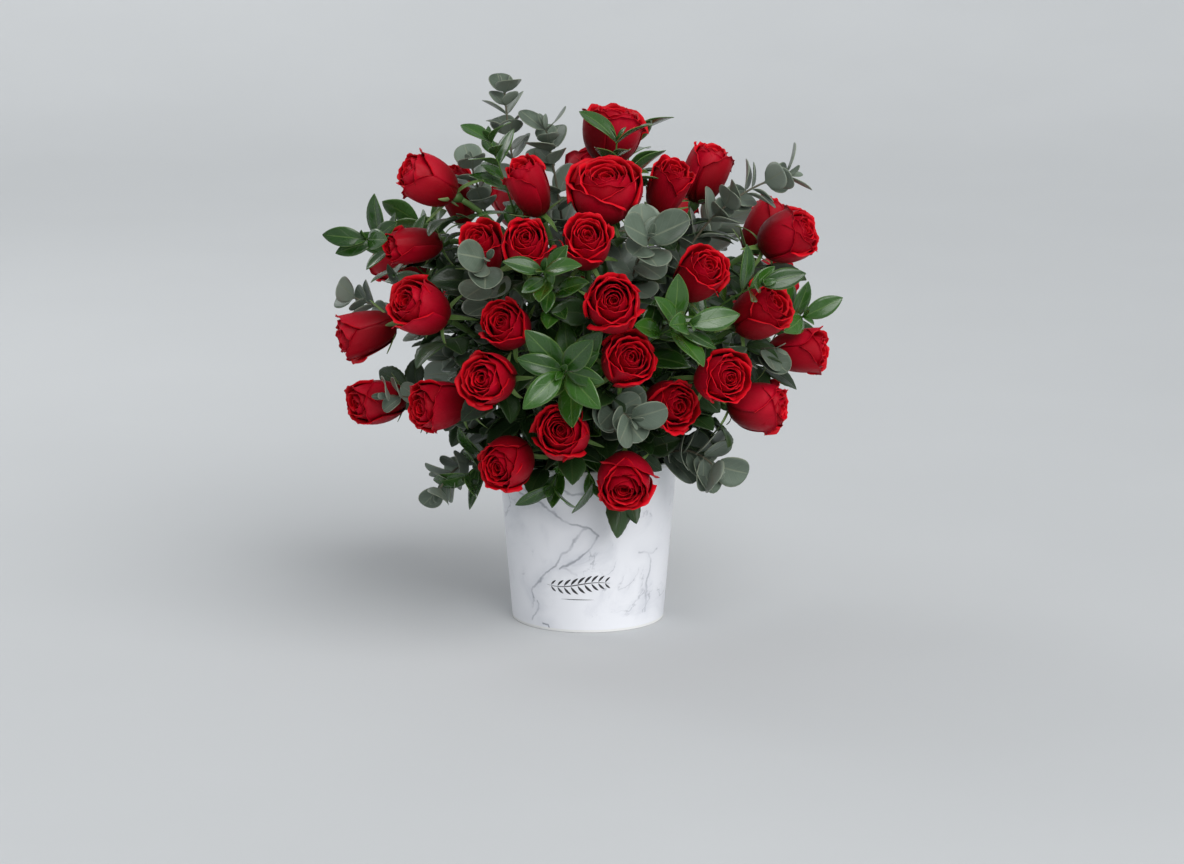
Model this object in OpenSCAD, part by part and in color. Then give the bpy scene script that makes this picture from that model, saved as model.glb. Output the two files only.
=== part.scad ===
// Flower box: a tapered round board box with a marble-printed wrap, and in it a lift-out liner
// whose foam brick holds forty roses with eucalyptus and ruscus between them.
// Frame: origin at the centre of the base's underside, +Z up, the front of the bouquet towards -Y.
// All sizes are in millimetres and all angles in degrees.

/* [Box] */
// Height of the box
box_h = 142; // [138:1:146]
// Outer diameter at the rim
rim_d = 154; // [152:1:158]
// Outer diameter at the base
base_d = 131; // [130:1:134]
// Thickness of the board wall and of the base disc
board_t = 2; // [1.6:0.1:2.2]
// Thickness of the printed paper wrap
wrap_t = 0.3; // [0.2:0.1:0.4]

/* [Liner and foam] */
// Wall thickness of the plastic liner
liner_t = 1; // [0.8:0.1:1.2]
// Gap between the liner and the box wall
liner_gap = 1.2; // [1:0.1:1.6]
// Length of the foam brick across the box
foam_w = 112; // [108:1:114]
// Depth of the foam brick from front to back
foam_depth = 88; // [84:1:92]
// Height of the foam above the rim
foam_rise = 40; // [38:1:44]

/* [Flowers] */
// Diameter of a rose stem
rose_stem_d = 5; // [4:0.5:5.5]
// Diameter of a eucalyptus stem
eucalyptus_stem_d = 3; // [2.5:0.1:3.2]
// Diameter of a ruscus stem
ruscus_stem_d = 2.4; // [2:0.1:2.6]
// Thickness of a leaf
leaf_t = 1; // [0.8:0.1:1.2]
// Length of a sprig's last leaf as a share of its largest
tip_share = 0.8; // [0.6:0.05:1]
// Room kept free around a bloom when a leaf is placed
leaf_room = 1.5; // [1:0.5:4]

/* [Hidden] */
$fn = 48;
rim_r = rim_d / 2;
base_r = base_d / 2;
bead_h = 4; // rolled edge at the rim
wall_bottom = board_t + 0.5; // the base disc is half a millimetre thicker than the wall
wall_top = box_h - bead_h;
liner_top = box_h - 10;
liner_bottom = wall_bottom;
liner_lip = 0.8;
holder_r = 16;
holder_t = 2;
prong_r = 1.2;
prong_h = 24;
prong_ring_r = 10;
foam_bottom = liner_bottom + liner_t + holder_t;
foam_top = box_h + foam_rise;
foam_chamfer = 9;
foam_corner_r = 58; // the brick's corners are cut off to pass into the round liner
bore_gap = 0.05; // radial gap between a stem or prong and its hole in the foam
bore_l = 150; // a hole's length, enough to pass out of the foam
bore_sides = 12; // flats round a hole, each just clear of the stem

// Stems fan out from one point on the box's axis, and low ones from higher up so that they clear the rim.
core_z = 115;
clear_r = rim_r + 3;
clear_z = box_h + 5;
rose_start = 24; // distance from that point to the cut end of a level rose stem
sprig_start = 32; // the same for a sprig, which isn't pushed in as deep
steep_start = 12; // more of it for an upright stem
neck = 8; // length of the hip under a bloom
bend_share = 0.2; // share of a stem's length that its bend takes on each side
straight_angle = 2; // a stem that turns by less than this is drawn straight
node_share = 1.25; // radius of the knot where a stem starts to bend, as a share of the stem's
seat = 2; // how far a stem runs on into the hip of its bloom

// Each rose: centre of the bloom x, y, z, bloom diameter, tilt of its axis above the horizontal,
// and its turn to the left of straight outwards. Numbers 1 to 30 face the front, the rest the back.
ROSES = [
    [-130, -70, 385, 42, 30, -5],
    [-110, 0, 365, 34, 75, 20],
    [-47, -95, 382, 36, 60, -15],
    [20, -20, 417, 54, 80, 10],
    [15, -105, 378, 66, 60, -10],
    [65, -55, 376, 38, 55, -15],
    [98, -20, 385, 40, 70, 0],
    [165, -40, 335, 46, 25, -15],
    [-85, -110, 332, 38, 40, 20],
    [-50, -155, 342, 44, 30, 20],
    [0, -155, 343, 44, 35, 0],
    [-145, -45, 330, 34, 0, 15],
    [88, -140, 315, 42, 35, 0],
    [-134, -120, 287, 48, 25, 0],
    [-185, -40, 255, 42, -15, 0],
    [20, -185, 300, 48, 20, -5],
    [-64, -148, 276, 42, 25, 5],
    [140, -100, 280, 48, 30, -5],
    [175, -50, 240, 42, 5, 0],
    [-76, -170, 238, 46, 10, 0],
    [30, -170, 250, 46, 25, 5],
    [-175, -60, 200, 42, 0, 15],
    [-120, -110, 205, 44, 0, -5],
    [65, -130, 210, 42, 5, 0],
    [106, -150, 235, 46, 10, -10],
    [140, -80, 198, 46, 0, 10],
    [-20, -145, 190, 48, 15, 0],
    [-64, -117, 160, 46, -5, 0],
    [30, -115, 145, 48, -15, -15],
    [150, 25, 335, 36, 60, 0],
    [70, 135, 330, 50, 35, 0],
    [-60, 140, 340, 52, 40, 0],
    [5, 165, 270, 54, 15, 0],
    [115, 115, 240, 50, 10, -10],
    [-115, 120, 255, 50, 15, 0],
    [-65, 145, 190, 50, 0, 0],
    [60, 140, 185, 48, 0, 0],
    [4, 74, 370, 50, 60, 0],
    [155, 70, 280, 46, 20, -5],
    [-160, 55, 300, 46, 25, 0]
];

// Each sprig: tip x, y, z, tilt of the tip above the horizontal, its turn to the left of straight
// outwards, roll of its first pair of leaves, number of pairs and length of its largest leaf.
// A group of sprigs is one sub-part.
EUCALYPTUS = [
    [[-70, -10, 455, 85, 25, 20, 4, 26], [-35, -30, 425, 75, 0, 60, 3, 30]],
    [[165, -60, 390, 15, 20, 75, 5, 29], [50, -150, 350, 35, 0, 0, 3, 40]],
    [[-200, -10, 280, 20, 0, 30, 3, 26], [-165, -95, 210, 5, 0, 45, 4, 26]],
    [[-80, -170, 335, 20, 35, 0, 3, 36], [35, -170, 205, -15, 20, 30, 3, 32]],
    [[155, -95, 250, 5, -20, 20, 4, 31], [105, -90, 150, -35, 0, 0, 4, 36]],
    [[-125, -70, 125, -50, 25, 30, 4, 26], [-97, -32, 393, 74, 0, 10, 3, 30]],
    [[-30, 180, 330, 40, -5, 20, 4, 30], [120, 120, 330, 35, 0, 0, 4, 30], [-120, 130, 190, -10, 0, 0, 4, 30]]
];
RUSCUS = [
    [[-185, -50, 335, 10, 45, 0, 4, 42], [-80, -80, 420, 70, -30, 30, 3, 36]],
    [[24, -62, 418, 80, 0, 60, 3, 42], [140, -140, 310, 20, 0, 0, 3, 42]],
    [[-35, -195, 329, 30, 0, 0, 4, 38], [-20, -205, 250, 5, 0, 45, 3, 48]],
    [[80, -185, 285, 15, 20, 0, 3, 46], [180, -55, 270, 15, -40, 20, 2, 42]],
    [[-30, -97, 134, -55, -10, 0, 2, 36], [5, -97, 136, -55, 35, 45, 2, 34], [-100, -80, 140, -40, 0, 0, 2, 40]],
    [[60, 175, 260, 15, 0, 0, 3, 42], [-150, 110, 330, 25, 0, 20, 3, 42], [40, 90, 410, 60, 0, 0, 3, 42]]
];

EUCALYPTUS_SHAPE = ["eucalyptus", 0.88, 50, 19]; // outline, width over length, splay, spacing of the pairs
RUSCUS_SHAPE = ["ruscus", 0.42, 45, 21];

function two_digits(i) = str(i < 10 ? "0" : "", i);
function rose_name(i) = str("rose_", two_digits(i + 1));
function eucalyptus_name(i) = str("eucalyptus_", two_digits(i + 1));
function ruscus_name(i) = str("ruscus_", two_digits(i + 1));

// ---------- vectors and placing ----------

function unit(v) = v / norm(v);
function place(v) = [v.x, v.y, v.z];
function heading_of(p) = atan2(p.y, p.x);
function aim(heading, tilt) = [cos(tilt) * cos(heading), cos(tilt) * sin(heading), sin(tilt)];

// Draws its children in a frame at origin o with the given X and Y axes.
module in_frame(o, x, y) {
    z = cross(x, y);
    multmatrix([
        [x.x, y.x, z.x, o.x],
        [x.y, y.y, z.y, o.y],
        [x.z, y.z, z.z, o.z]
    ])
        children();
}

// Draws its children at point o with their Z axis turned along direction a.
module pointing(o, a) {
    translate(o)
        rotate([0, acos(a.z), atan2(a.y, a.x)])
            children();
}

// ---------- stems: a straight run from the foam, then an arc into the end's direction ----------

// A stem is [start, direction, bend start, end, end direction, turn angle].
function source_z(q) =
    let (r = norm([q.x, q.y]))
    r <= clear_r
        ? core_z
        : min(foam_top - 15, max(core_z, clear_z - clear_r * (q.z - clear_z) / (r - clear_r)));

function stem_to(end, a, start) =
    let (
        reach = norm(end - [0, 0, core_z]),
        corner = end - bend_share * reach * a,
        source = [0, 0, source_z(corner)],
        to_corner = unit(corner - source),
        turn = acos(min(1, to_corner * a)),
        d = turn > straight_angle ? to_corner : unit(end - source)
    )
    [
        source + (start + steep_start * d.z) * d,
        d,
        turn > straight_angle ? corner - bend_share * reach * d : end - reach / 2 * d,
        end,
        turn > straight_angle ? a : d,
        turn > straight_angle ? turn : 0
    ];

function turns(stem) = stem[5] > straight_angle;
function bend_radius(stem) = norm(stem[3] - stem[2]) / (2 * sin(stem[5] / 2));
function bend_side(stem) = unit(stem[4] - (stem[4] * stem[1]) * stem[1]);
function bend_length(stem) = turns(stem) ? bend_radius(stem) * stem[5] * PI / 180 : norm(stem[3] - stem[2]);

// Point and direction at distance s back from the stem's end.
function stem_point(stem, s) =
    s > bend_length(stem)
        ? stem[2] - (s - bend_length(stem)) * stem[1]
        : !turns(stem)
            ? stem[3] - s * stem[4]
            : let (r = bend_radius(stem), m = bend_side(stem), f = stem[5] - s / r * 180 / PI)
              stem[2] + r * (1 - cos(f)) * m + r * sin(f) * stem[1];

function stem_direction(stem, s) =
    s > bend_length(stem) || !turns(stem)
        ? stem[1]
        : let (f = stem[5] - s / bend_radius(stem) * 180 / PI)
          cos(f) * stem[1] + sin(f) * bend_side(stem);

module rod(from, to, r) {
    pointing(from, unit(to - from))
        cylinder(h = norm(to - from), r = r);
}

// The straight run and the bend meet inside a small knot, and the bend can run on past the stem's end.
module stem(stem, r, run_on = 0) {
    inside = 0.3 * r;
    if (turns(stem)) {
        bend_r = bend_radius(stem);
        lead = inside / bend_r * 180 / PI;
        tail = run_on / bend_r * 180 / PI;
        rod(stem[0], stem[2] - inside * stem[1], r);
        rod(stem[2] - 2 * inside * stem[1], stem[2] + 2 * inside * stem[1], node_share * r);
        in_frame(stem[2] + bend_r * bend_side(stem), -bend_side(stem), stem[1])
            rotate(lead)
                rotate_extrude(angle = stem[5] - lead + tail)
                    translate([bend_r, 0])
                        circle(r = r);
    } else {
        rod(stem[0], stem[3] + run_on * stem[4], r);
    }
}

module bore(stem, r) {
    rod(stem[0], stem[0] + bore_l * stem[1], r / cos(180 / bore_sides), $fn = bore_sides);
}

// ---------- the box ----------

function outer_r(z) = base_r + (rim_r - base_r) * z / box_h;
function board_r(z) = outer_r(z) - wrap_t;
function inner_r(z) = board_r(z) - board_t;
function liner_r(z) = inner_r(z) - liner_gap;

module shell(z0, z1, r0, r1, t) {
    rotate_extrude()
        polygon([[r0 - t, z0], [r0, z0], [r1, z1], [r1 - t, z1]]);
}

module box_base() {
    edge = 0.6;
    color("whitesmoke")
        rotate_extrude()
            polygon([
                [0, 0],
                [base_r - edge, 0],
                [base_r, edge],
                [outer_r(wall_bottom), wall_bottom],
                [0, wall_bottom]
            ]);
}

module box_wall() {
    color("white")
        shell(wall_bottom, wall_top, board_r(wall_bottom), board_r(wall_top), board_t);
}

module marble_wrap() {
    color("gainsboro")
        shell(wall_bottom, wall_top, outer_r(wall_bottom), outer_r(wall_top), wrap_t);
}

module rim_bead() {
    bead_r = (board_t + wrap_t) / 2;
    color("white")
        rotate_extrude()
            translate([outer_r(wall_top) - bead_r, 0])
                union() {
                    translate([-bead_r, wall_top])
                        square([2 * bead_r, bead_h - bead_r]);
                    translate([0, box_h - bead_r])
                        circle(r = bead_r);
                }
}

// ---------- liner, pin holder and foam ----------

module liner_pot() {
    floor_top = liner_bottom + liner_t;
    color("darkgreen")
        rotate_extrude()
            polygon([
                [0, liner_bottom],
                [liner_r(liner_bottom), liner_bottom],
                [liner_r(liner_top - 3), liner_top - 3],
                [liner_r(liner_top - 3) + liner_lip, liner_top - 3],
                [liner_r(liner_top) + liner_lip, liner_top],
                [liner_r(liner_top) - liner_t, liner_top],
                [liner_r(floor_top) - liner_t, floor_top],
                [0, floor_top]
            ]);
}

module prongs(gap = 0) {
    for (turn = [45:90:315])
        rotate([0, 0, turn])
            translate([prong_ring_r, 0, foam_bottom - holder_t])
                cylinder(h = holder_t + prong_h + gap, r = prong_r + gap);
}

module pin_holder() {
    color("seagreen")
        union() {
            translate([0, 0, foam_bottom - holder_t])
                cylinder(h = holder_t, r = holder_r);
            prongs();
        }
}

// Upright outline of the foam, width across, with the top edges bevelled.
module foam_profile(width) {
    polygon([
        [-width / 2, foam_bottom],
        [width / 2, foam_bottom],
        [width / 2, foam_top - foam_chamfer],
        [width / 2 - foam_chamfer, foam_top],
        [-width / 2 + foam_chamfer, foam_top],
        [-width / 2, foam_top - foam_chamfer]
    ]);
}

module foam_blank() {
    cut_x = sqrt(pow(foam_corner_r, 2) - pow(foam_depth / 2, 2));
    cut_y = sqrt(pow(foam_corner_r, 2) - pow(foam_w / 2, 2));
    intersection() {
        rotate([90, 0, 90])
            linear_extrude(foam_w, center = true)
                foam_profile(foam_depth);
        rotate([90, 0, 0])
            linear_extrude(foam_depth, center = true)
                foam_profile(foam_w);
        linear_extrude(foam_top)
            polygon([
                [foam_w / 2, cut_y], [cut_x, foam_depth / 2], [-cut_x, foam_depth / 2], [-foam_w / 2, cut_y],
                [-foam_w / 2, -cut_y], [-cut_x, -foam_depth / 2], [cut_x, -foam_depth / 2], [foam_w / 2, -cut_y]
            ]);
    }
}

module foam_brick() {
    color("olivedrab")
        difference() {
            foam_blank();
            prongs(bore_gap);
            for (stem = ROSE_STEMS)
                bore(stem, rose_stem_d / 2 + bore_gap);
            for (group = EUCALYPTUS, sprig = group)
                bore(sprig_stem(sprig), eucalyptus_stem_d / 2 + bore_gap);
            for (group = RUSCUS, sprig = group)
                bore(sprig_stem(sprig), ruscus_stem_d / 2 + bore_gap);
        }
}

// ---------- roses ----------

function bloom_axis(rose) = aim(heading_of(rose) + rose[5], rose[4]);
function bloom_d(rose) = rose[3];
function bloom_l(rose) = 56 - 0.2 * bloom_d(rose); // an open bloom is shorter than a bud
function rose_stem(rose) =
    stem_to(place(rose) - (bloom_l(rose) / 2 + neck) * bloom_axis(rose), bloom_axis(rose), rose_start);

ROSE_STEMS = [for (rose = ROSES) rose_stem(rose)];

// Half-width of a bloom at share t of its length, from the hip to the mouth.
function bloom_r(d, t) = d / 2 * (0.3 + 0.7 * sin(min(90, 150 * t))) * (1 - 0.2 * max(0, t - 0.6) / 0.4);

module bloom(d, l) {
    hip_r = 4.5;
    steps = 8;
    rotate_extrude()
        polygon(concat(
            [[0, -l / 2 - neck], [hip_r - 1, -l / 2 - neck], [hip_r, -l / 2 - neck / 2]],
            [for (i = [0:steps]) [bloom_r(d, i / steps), l * (i / steps - 0.5)]],
            [[0, l / 2]]
        ));
}

module rose(rose) {
    color("crimson")
        union() {
            pointing(place(rose), bloom_axis(rose))
                bloom(bloom_d(rose), bloom_l(rose));
            stem(rose_stem(rose), rose_stem_d / 2, seat);
        }
}

// ---------- foliage ----------

function sprig_axis(sprig) = aim(heading_of(sprig) + sprig[4], sprig[3]);
function sprig_stem(sprig) = stem_to(place(sprig), sprig_axis(sprig), sprig_start);

// Points of a leaf that have to be clear of the blooms and the box, as shares of its length and half-width.
LEAF_PROBES = [[0.25, 0], [0.3, 1], [0.3, -1], [0.6, 0], [0.7, 1], [0.7, -1], [1, 0]];

function in_bloom(p, rose) =
    let (
        v = p - place(rose),
        along = v * bloom_axis(rose),
        across = norm(v - along * bloom_axis(rose))
    )
    abs(along) < bloom_l(rose) / 2 + leaf_room && across < bloom_d(rose) / 2 + leaf_room
        || along < 0 && along > -bloom_l(rose) / 2 - neck && across < 8;

function line_distance(p, from, to) =
    let (run = to - from, t = max(0, min(1, (p - from) * run / (run * run))))
    norm(p - from - t * run);

function at_stem(p, stem) =
    let (middle = stem_point(stem, bend_length(stem) / 2))
    min(
        line_distance(p, stem[0], stem[2]),
        line_distance(p, stem[2], middle),
        line_distance(p, middle, stem[3])
    ) < rose_stem_d / 2 + leaf_room + 1;

function in_box(p) =
    let (r = norm([p.x, p.y]))
    p.z < clear_z && r < clear_r + 2 || p.z < foam_top + 3 && r < foam_corner_r + 3;

function has_room(o, x, y, length, width) =
    let (
        blocked = [
            for (probe = LEAF_PROBES)
                let (p = o + probe[0] * length * x + probe[1] * width / 2 * y)
                if (
                    in_box(p)
                        || len([for (rose = ROSES) if (in_bloom(p, rose)) 1]) > 0
                        || len([for (stem = ROSE_STEMS) if (at_stem(p, stem)) 1]) > 0
                ) 1
        ]
    )
    len(blocked) == 0;

// A round leaf on a short stalk.
function eucalyptus_outline(length, width) = concat(
    [[0, 0.6], [0, -0.6], [3, -0.9]],
    [for (a = [-155:25:155]) [3 + (length - 3) / 2 * (1 + cos(a)), width / 2 * sin(a)]],
    [[3, 0.9]]
);

// A lance-shaped leaf with a pointed tip.
function ruscus_outline(length, width) =
    let (steps = 8, half = [for (i = [1:steps - 1]) [length * i / steps, width / 2 * pow(sin(180 * i / steps), 0.8)]])
    concat(
        [[0, 0.7], [0, -0.7]],
        [for (p = half) [p.x, -p.y]],
        [[length, 0]],
        [for (i = [len(half) - 1:-1:0]) half[i]]
    );

module leaf(o, x, y, length, shape) {
    in_frame(o, x, y)
        linear_extrude(leaf_t, center = true)
            polygon(
                shape[0] == "ruscus"
                    ? ruscus_outline(length, shape[1] * length)
                    : eucalyptus_outline(length, shape[1] * length)
            );
}

// One leaf of a sprig on side +1 or -1 of its stem, left out where a bloom or the box is in its way.
module side_leaf(stem, s, roll, side, length, shape) {
    t = stem_direction(stem, s);
    level = unit(cross(t, abs(t.z) > 0.95 ? [1, 0, 0] : [0, 0, 1]));
    across = cos(roll) * level + sin(roll) * cross(t, level);
    x = cos(shape[2]) * t + side * sin(shape[2]) * across;
    y = cross(t, across);
    if (has_room(stem_point(stem, s), x, y, length, shape[1] * length))
        leaf(stem_point(stem, s), x, y, length, shape);
}

module sprig(sprig, r, shape) {
    stem = sprig_stem(sprig);
    pairs = sprig[6];
    stem(stem, r);
    for (k = [0:pairs - 1], side = [-1, 1])
        side_leaf(
            stem,
            3 + k * shape[3],
            sprig[5] + 90 * k,
            side,
            sprig[7] * (tip_share + (1 - tip_share) * k / (pairs - 1)),
            shape
        );
}

module eucalyptus(group) {
    color("darkseagreen")
        for (sprig = group)
            sprig(sprig, eucalyptus_stem_d / 2, EUCALYPTUS_SHAPE);
}

module ruscus(group) {
    color("forestgreen")
        for (sprig = group)
            sprig(sprig, ruscus_stem_d / 2, RUSCUS_SHAPE);
}

// ---------- what is drawn ----------

box_base();
box_wall();
marble_wrap();
rim_bead();
liner_pot();
pin_holder();
foam_brick();
for (i = [0:len(ROSES) - 1])
    rose(ROSES[i]);
for (i = [0:len(EUCALYPTUS) - 1])
    eucalyptus(EUCALYPTUS[i]);
for (i = [0:len(RUSCUS) - 1])
    ruscus(RUSCUS[i]);
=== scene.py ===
from math import acos, cos, hypot, pi, radians, sin, sqrt, tan, tau

import bpy
import numpy as np
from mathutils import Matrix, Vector


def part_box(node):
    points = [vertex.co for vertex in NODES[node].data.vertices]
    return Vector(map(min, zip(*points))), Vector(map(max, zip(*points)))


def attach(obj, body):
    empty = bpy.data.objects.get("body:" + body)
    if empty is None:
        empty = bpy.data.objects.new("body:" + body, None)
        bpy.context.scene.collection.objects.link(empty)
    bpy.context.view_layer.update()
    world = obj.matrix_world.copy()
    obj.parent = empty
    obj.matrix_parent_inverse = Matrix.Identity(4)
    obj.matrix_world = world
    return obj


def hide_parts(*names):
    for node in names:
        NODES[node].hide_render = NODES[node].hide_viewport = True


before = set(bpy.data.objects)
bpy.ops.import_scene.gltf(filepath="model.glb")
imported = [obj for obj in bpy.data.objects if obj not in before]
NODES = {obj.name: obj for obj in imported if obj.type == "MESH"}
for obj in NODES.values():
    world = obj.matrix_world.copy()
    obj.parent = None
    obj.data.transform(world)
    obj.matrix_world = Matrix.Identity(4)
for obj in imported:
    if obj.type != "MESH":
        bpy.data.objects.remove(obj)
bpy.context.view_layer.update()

MM = 0.001
UP = np.array([0.0, 0.0, 1.0])
norm = np.linalg.norm
GOLDEN_ANGLE = radians(137.508)


# --- vectors and meshes ---


def unit(v):
    return v / norm(v)


def square_to(axis):
    """Two unit vectors square to axis and to each other."""
    side = np.cross(axis, UP)
    if norm(side) < 1e-3:
        side = np.array([1.0, 0.0, 0.0])
    side = unit(side)
    return side, np.cross(axis, side)


def part_square(v, axis):
    """Unit vector of the part of v that is square to a unit axis."""
    return unit(v - (v @ axis) * axis)


def turned(v, axis, angle):
    """v turned about a unit axis."""
    along = axis * (v @ axis)
    return along + (v - along) * cos(angle) + np.cross(axis, v) * sin(angle)


def new_object(name, data):
    made = bpy.data.objects.new(name, data)
    bpy.context.scene.collection.objects.link(made)
    return made


class Pile:
    """Collects patches of points and faces, and values at the points, into one mesh object."""

    def __init__(self):
        self.points, self.faces, self.slots, self.values = [], [], [], {}
        self.count = 0

    def add(self, points, faces, slot=0, **values):
        points = np.asarray(points, float).reshape(-1, 3)
        self.faces += [tuple(i + self.count for i in face) for face in faces]
        self.slots += [slot] * len(faces)
        for name in sorted(set(values) | set(self.values)):
            rows = self.values.setdefault(name, [np.zeros(self.count)])
            rows.append(np.broadcast_to(np.asarray(values.get(name, 0.0), float).ravel(), len(points)))
        self.points.append(points)
        self.count += len(points)

    def make(self, name, materials):
        mesh = bpy.data.meshes.new(name)
        mesh.from_pydata(np.concatenate(self.points).tolist(), [], self.faces)
        for material in materials:
            mesh.materials.append(material)
        mesh.polygons.foreach_set("material_index", self.slots)
        mesh.polygons.foreach_set("use_smooth", [True] * len(self.faces))
        for key, rows in self.values.items():
            layer = mesh.attributes.new(key, "FLOAT", "POINT")
            layer.data.foreach_set("value", np.concatenate(rows).astype(np.float32))
        mesh.update()
        return new_object(name, mesh)


def grid_faces(rows, columns, start=0, flip=False, wrap=False):
    """Quads of a grid of rows by columns points. wrap joins the last column to the first."""
    faces = []
    for r in range(rows - 1):
        for c in range(columns if wrap else columns - 1):
            d = (c + 1) % columns
            quad = (r * columns + c, r * columns + d, (r + 1) * columns + d, (r + 1) * columns + c)
            faces.append(tuple(start + i for i in (quad[::-1] if flip else quad)))
    return faces


def grid_normals(grid):
    along = np.gradient(grid, axis=0)
    across = np.gradient(grid, axis=1)
    n = np.cross(across, along)
    return n / np.maximum(norm(n, axis=2, keepdims=True), 1e-12)


SHELL_FACES = {}


def shell_faces(rows, columns):
    """Faces of a closed sheet: a front grid, a back grid and the rim between them."""
    key = (rows, columns)
    if key not in SHELL_FACES:
        n = rows * columns
        faces = grid_faces(rows, columns) + grid_faces(rows, columns, n, flip=True)
        index = np.arange(n).reshape(rows, columns)
        rim = [index[:, 0], index[-1, 1:], index[-2::-1, -1], index[0, -2:0:-1]]
        rim = np.concatenate(rim).tolist()
        faces += [(a, b, b + n, a + n) for a, b in zip(rim, rim[1:] + rim[:1])]
        SHELL_FACES[key] = faces
    return SHELL_FACES[key]


def add_shell(pile, grid, thickness, slot=0, **values):
    """A sheet through the grid's points, closed, with thickness shared by its two sides."""
    rows, columns = grid.shape[:2]
    offset = grid_normals(grid) * np.broadcast_to(thickness, (rows, columns))[..., None] / 2
    points = np.concatenate([(grid + offset).reshape(-1, 3), (grid - offset).reshape(-1, 3)])
    doubled = {k: np.tile(np.broadcast_to(v, (rows, columns)).ravel(), 2) for k, v in values.items()}
    back = np.repeat([0.0, 1.0], rows * columns)
    pile.add(points, shell_faces(rows, columns), slot, back=back, **doubled)


def ring(x, y, sides):
    """Points of a circle of radius 1 in the plane of two unit vectors."""
    a = np.arange(sides) * tau / sides
    return np.cos(a)[:, None] * x + np.sin(a)[:, None] * y


def add_rings(pile, rings, sides, slot, values):
    """A closed skin over rings of points, capped at both ends."""
    n = len(rings)
    faces = grid_faces(n, sides, wrap=True)
    faces += [tuple(range(sides))[::-1], tuple(range((n - 1) * sides, n * sides))]
    along = np.repeat(np.linspace(0, 1, n), sides)
    pile.add(np.concatenate(rings), faces, slot, along=along, **values)


def add_tube(pile, path, radii, sides, slot=0, **values):
    """A closed tube along path, with a radius at each of its points."""
    path = np.asarray(path, float)
    radii = np.broadcast_to(radii, len(path))
    tangents = np.gradient(path, axis=0)
    tangents /= norm(tangents, axis=1, keepdims=True)
    side = square_to(tangents[0])[0]
    rings = []
    for p, t, r in zip(path, tangents, radii):
        side = part_square(side, t)
        rings.append(p + r * ring(side, np.cross(t, side), sides))
    add_rings(pile, rings, sides, slot, values)


def add_lathe(pile, origin, axis, profile, sides=16, slot=0, **values):
    """A closed solid of revolution. profile is (radius, height) from the bottom to the top."""
    round_it = ring(*square_to(axis), sides)
    add_rings(pile, [origin + h * axis + r * round_it for r, h in profile], sides, slot, values)


# --- reading the CAD model ---


def triangles_of(node):
    """A CAD node's points, each one once, and its triangles."""
    mesh = NODES[node].data
    mesh.calc_loop_triangles()
    points = np.zeros(len(mesh.vertices) * 3)
    mesh.vertices.foreach_get("co", points)
    corners = np.zeros(len(mesh.loop_triangles) * 3, int)
    mesh.loop_triangles.foreach_get("vertices", corners)
    points, inverse = np.unique(points.reshape(-1, 3).round(6), axis=0, return_inverse=True)
    return points, inverse.ravel()[corners].reshape(-1, 3)


def separate_solids(points, triangles):
    """The triangles of each separate solid in a mesh."""
    label = np.arange(len(points))
    while True:
        low = label[triangles].min(axis=1)
        new = label.copy()
        for k in range(3):
            np.minimum.at(new, triangles[:, k], low)
        new = new[new]
        if (new == label).all():
            break
        label = new
    owner = label[triangles[:, 0]]
    return [triangles[owner == o] for o in np.unique(owner)]


SAME_DIRECTION = 0.99995  # cosine between the normals of one flat face's triangles
SAME_PLANE = 3e-5
SMALLEST_TRIANGLE = 1e-7


def flat_faces(points, triangles, least, seeds=None):
    """(area, normal, corner points) of each flat face of at least the area least, largest first.
    seeds is how many of the largest triangles to start from."""
    a, b, c = (points[triangles[:, k]] for k in range(3))
    cross = np.cross(b - a, c - a)
    area = norm(cross, axis=1) / 2
    normal = cross / np.maximum(2 * area, 1e-15)[:, None]
    centre = (a + b + c) / 3
    left = area > 0
    found = []
    for i in np.argsort(-area)[:seeds]:
        if not left[i]:
            continue
        same = left & (normal @ normal[i] > SAME_DIRECTION)
        same &= abs((centre - centre[i]) @ normal[i]) < SAME_PLANE
        left &= ~same
        if area[same].sum() >= least:
            found.append((area[same].sum(), normal[i], points[np.unique(triangles[same])]))
        if area[i] < SMALLEST_TRIANGLE:
            break
    return sorted(found, key=lambda face: -face[0])


def ring_near(points, p, radius):
    """Centre of the round stem end whose edge holds the point of the mesh nearest to p."""
    rim = points[np.argmin(norm(points - p, axis=1))]
    edge = points[norm(points - rim, axis=1) < 2 * radius + 0.0002]
    return edge.mean(axis=0)


CORE = np.array([0, 0, 0.115])  # where the stems meet and fan out
BEND_SHARE = 0.2  # a bend's tangent length over the stem's reach
STRAIGHT_TURN = radians(1.5)  # a stem that turns less is straight
STEM_STEP = 0.002
ROSE_STEM_R = 0.0025
EUCALYPTUS_STEM_R = 0.0015
RUSCUS_STEM_R = 0.0012
NECK = 0.008  # length of the hip under a bloom
MOUTH_SHARE = 0.4  # radius of a CAD bloom's mouth over its diameter
BLOOM_L = 0.056  # a CAD bloom is this long, less BLOOM_DROP times its diameter
BLOOM_DROP = 0.2
# Square metres. Flat faces larger than these are a bloom's mouth, a leaf's side, a stem's end.
MOUTH_AREA, LEAF_AREA, TIP_AREA = 2e-5, 6e-5, 3e-6


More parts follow.
